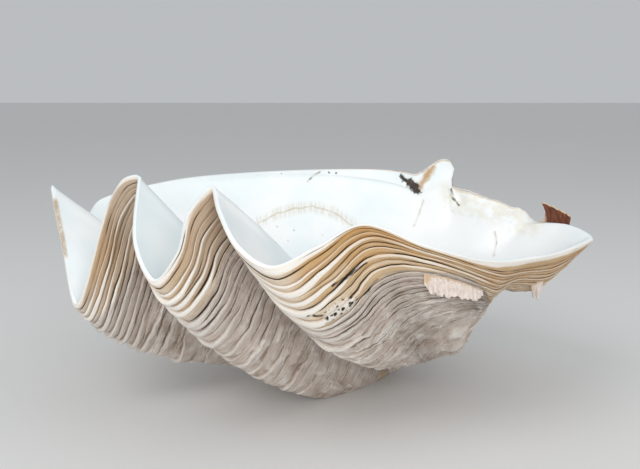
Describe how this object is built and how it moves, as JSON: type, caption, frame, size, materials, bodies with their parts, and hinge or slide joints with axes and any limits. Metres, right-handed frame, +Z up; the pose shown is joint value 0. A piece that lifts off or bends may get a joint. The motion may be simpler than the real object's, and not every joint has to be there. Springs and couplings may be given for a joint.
{
  "type": "giant clam shell",
  "caption": "Single deep valve of a giant clam lying hollow side up, with broad folded ribs, a scalloped rim, a hinge tooth and stepped growth ledges.",
  "frame": {"origin": "middle of the bounding box, at the bottom of the worn underside", "axes": "+Z up out of the hollow, +X along the shell's length towards the pointed end by the hinge, -Y towards the folded margin"},
  "size_m": [0.712, 0.5208, 0.3065],
  "materials": {
    "shell": "chalky outside with ochre growth ledges, smooth porcelain white inside",
    "ligament": "dried, dark red-brown, matt"
  },
  "bodies": {
    "root": {"shell": "shell", "ligament": "ligament"}
  },
  "joints": []
}
